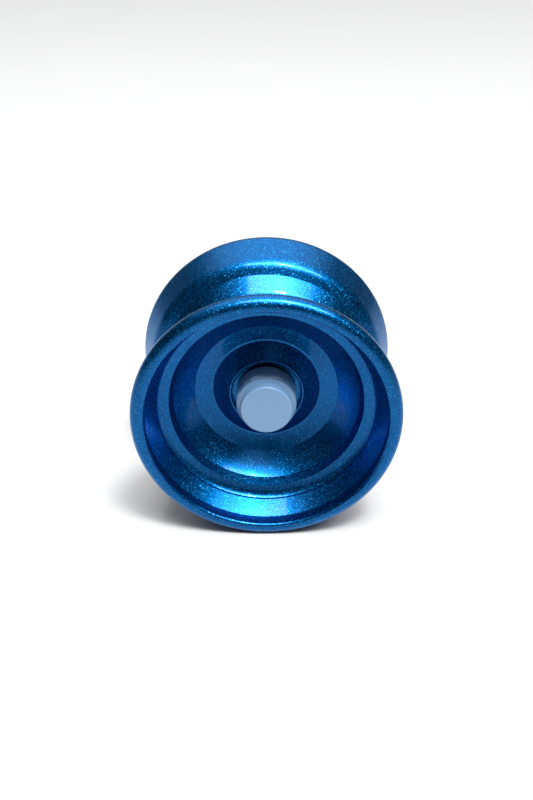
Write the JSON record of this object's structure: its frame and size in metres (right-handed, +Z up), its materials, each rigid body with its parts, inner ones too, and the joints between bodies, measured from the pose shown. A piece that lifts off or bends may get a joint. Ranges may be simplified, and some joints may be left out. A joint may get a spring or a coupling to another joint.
{
  "type": "yo-yo",
  "caption": "Butterfly yo-yo with stepped, flared metal halves, a freewheeling string bearing in the gap and a freely turning grip stack in each cup.",
  "frame": {"origin": "middle of the string bearing, on the spin axis and half way between the halves", "axes": "+Y along the spin axis towards the rear half, +Z up as the yo-yo stands on its rims, +X to the right seen from the front"},
  "size_m": [0.056, 0.0344, 0.056],
  "materials": {
    "anodised_blue": "gloss",
    "stack_plastic": "satin",
    "pad_silicone": "matte",
    "axle_steel": "satin",
    "bearing_steel": "polished",
    "ball_steel": "polished",
    "cage_steel": "satin",
    "shield_steel": "satin",
    "spring_steel": "satin"
  },
  "bodies": {
    "halves": {"axle": "axle_steel", "main_bearing_inner_race": "bearing_steel", "front_half": "anodised_blue", "front_response_pad": "pad_silicone", "front_bearing_spacer": "axle_steel", "front_stack_bearing_inner_race": "bearing_steel", "front_stack_screw": "axle_steel", "rear_half": "anodised_blue", "rear_response_pad": "pad_silicone", "rear_bearing_spacer": "axle_steel", "rear_stack_bearing_inner_race": "bearing_steel", "rear_stack_screw": "axle_steel"},
    "string_bearing_outer": {"main_bearing_outer_race": "bearing_steel", "main_bearing_rear_shield": "shield_steel", "main_bearing_front_shield": "shield_steel", "main_bearing_rear_snap_ring": "spring_steel", "main_bearing_front_snap_ring": "spring_steel"},
    "string_bearing_balls": {"main_bearing_balls": "ball_steel", "main_bearing_cage": "cage_steel"},
    "front_stack": {"front_stack_cap": "stack_plastic", "front_stack_bearing_outer_race": "bearing_steel", "front_stack_bearing_foot_shield": "shield_steel", "front_stack_bearing_face_shield": "shield_steel"},
    "front_stack_balls": {"front_stack_bearing_balls": "ball_steel", "front_stack_bearing_cage": "cage_steel"},
    "rear_stack": {"rear_stack_cap": "stack_plastic", "rear_stack_bearing_outer_race": "bearing_steel", "rear_stack_bearing_foot_shield": "shield_steel", "rear_stack_bearing_face_shield": "shield_steel"},
    "rear_stack_balls": {"rear_stack_bearing_balls": "ball_steel", "rear_stack_bearing_cage": "cage_steel"}
  },
  "joints": [
    {"name": "string_bearing_spin", "type": "hinge", "parent": "halves", "child": "string_bearing_outer", "pos_m": [0, 0, 0], "axis": [0, 1, 0], "continuous": true},
    {"name": "string_bearing_cage_spin", "type": "hinge", "parent": "halves", "child": "string_bearing_balls", "pos_m": [0, 0, 0], "axis": [0, 1, 0], "continuous": true},
    {"name": "front_stack_spin", "type": "hinge", "parent": "halves", "child": "front_stack", "pos_m": [0, -0.00659, 0], "axis": [0, 1, 0], "continuous": true},
    {"name": "front_stack_cage_spin", "type": "hinge", "parent": "halves", "child": "front_stack_balls", "pos_m": [0, -0.00659, 0], "axis": [0, 1, 0], "continuous": true},
    {"name": "rear_stack_spin", "type": "hinge", "parent": "halves", "child": "rear_stack", "pos_m": [0, 0.00659, 0], "axis": [0, 1, 0], "continuous": true},
    {"name": "rear_stack_cage_spin", "type": "hinge", "parent": "halves", "child": "rear_stack_balls", "pos_m": [0, 0.00659, 0], "axis": [0, 1, 0], "continuous": true}
  ],
  "couplings": [
    {"joint": "string_bearing_cage_spin", "follows": "string_bearing_spin", "ratio": 0.6111},
    {"joint": "front_stack_cage_spin", "follows": "front_stack_spin", "ratio": 0.563},
    {"joint": "rear_stack_cage_spin", "follows": "rear_stack_spin", "ratio": 0.563}
  ]
}
